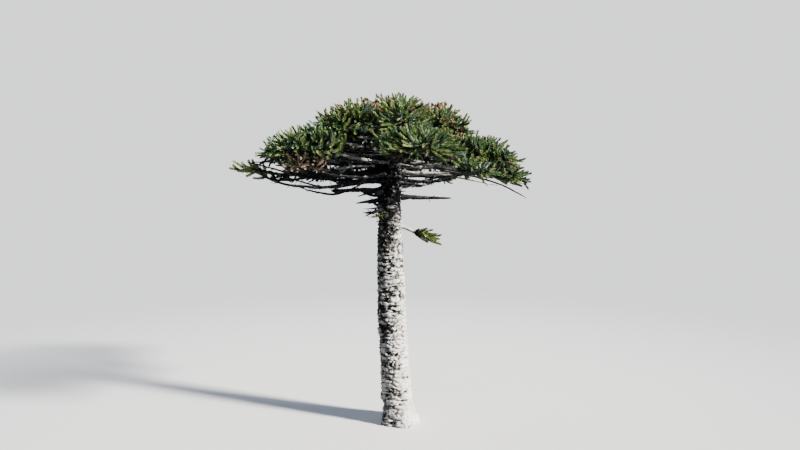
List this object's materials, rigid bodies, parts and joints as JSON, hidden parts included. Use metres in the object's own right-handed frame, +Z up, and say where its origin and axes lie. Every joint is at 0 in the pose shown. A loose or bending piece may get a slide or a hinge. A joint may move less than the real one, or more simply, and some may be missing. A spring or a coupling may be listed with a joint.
{
  "type": "monkey puzzle tree",
  "caption": "Old monkey puzzle tree with a tall bare knobbly grey trunk and a wide, flat parasol crown on level boughs.",
  "frame": {"origin": "middle of the flat cut under the trunk, at ground level", "axes": "+Z up along the trunk; +X is the side where the crown droops lowest; -Y faces the picture's viewpoint"},
  "size_m": [11.0682, 9.76, 12.0956],
  "materials": {
    "trunk_bark": "pale grey bark in knobbly level ridges, matte",
    "bough_bark": "grey bark, rough and matte",
    "dead_wood": "weathered dead wood, matte",
    "foliage_green": "stiff pointed leaves, satin, deep green to olive",
    "foliage_brown": "dry brown leaves, matte"
  },
  "bodies": {
    "root": {"bough_back_left": "bough_bark", "bough_back_right": "bough_bark", "bough_brown": "bough_bark", "bough_dome_1": "bough_bark", "bough_dome_2": "bough_bark", "bough_dome_3": "bough_bark", "bough_dome_4": "bough_bark", "bough_dome_5": "bough_bark", "bough_dome_6": "bough_bark", "bough_dome_7": "bough_bark", "bough_front_right": "bough_bark", "bough_left_reach": "bough_bark", "bough_low": "bough_bark", "bough_right_droop": "bough_bark", "bough_ring_1": "bough_bark", "bough_ring_2": "bough_bark", "bough_ring_3": "bough_bark", "bough_ring_4": "bough_bark", "bough_ring_5": "bough_bark", "bough_ring_6": "bough_bark", "bough_ring_7": "bough_bark", "bough_ring_8": "bough_bark", "bough_ring_9": "bough_bark", "dead_limb_back": "dead_wood", "dead_limb_front_mossy": "dead_wood", "dead_limb_left_long": "dead_wood", "dead_limb_left_low": "dead_wood", "dead_limb_left_ragged": "dead_wood", "dead_limb_left_upper": "dead_wood", "dead_limb_right_broken": "dead_wood", "dead_limb_right_long": "dead_wood", "dead_limb_right_upper": "dead_wood", "foliage_back_left": "foliage_green", "foliage_back_right": "foliage_green", "foliage_brown": "foliage_brown", "foliage_cap": "foliage_green", "foliage_dome_1": "foliage_green", "foliage_dome_2": "foliage_green", "foliage_dome_3": "foliage_green", "foliage_dome_4": "foliage_green", "foliage_dome_5": "foliage_green", "foliage_dome_6": "foliage_green", "foliage_dome_7": "foliage_green", "foliage_front_right": "foliage_green", "foliage_left_reach": "foliage_green", "foliage_low": "foliage_green", "foliage_right_droop": "foliage_green", "foliage_ring_1": "foliage_green", "foliage_ring_2": "foliage_green", "foliage_ring_3": "foliage_green", "foliage_ring_4": "foliage_green", "foliage_ring_5": "foliage_green", "foliage_ring_6": "foliage_green", "foliage_ring_7": "foliage_green", "foliage_ring_8": "foliage_green", "foliage_ring_9": "foliage_green", "trunk": "trunk_bark"}
  },
  "joints": []
}
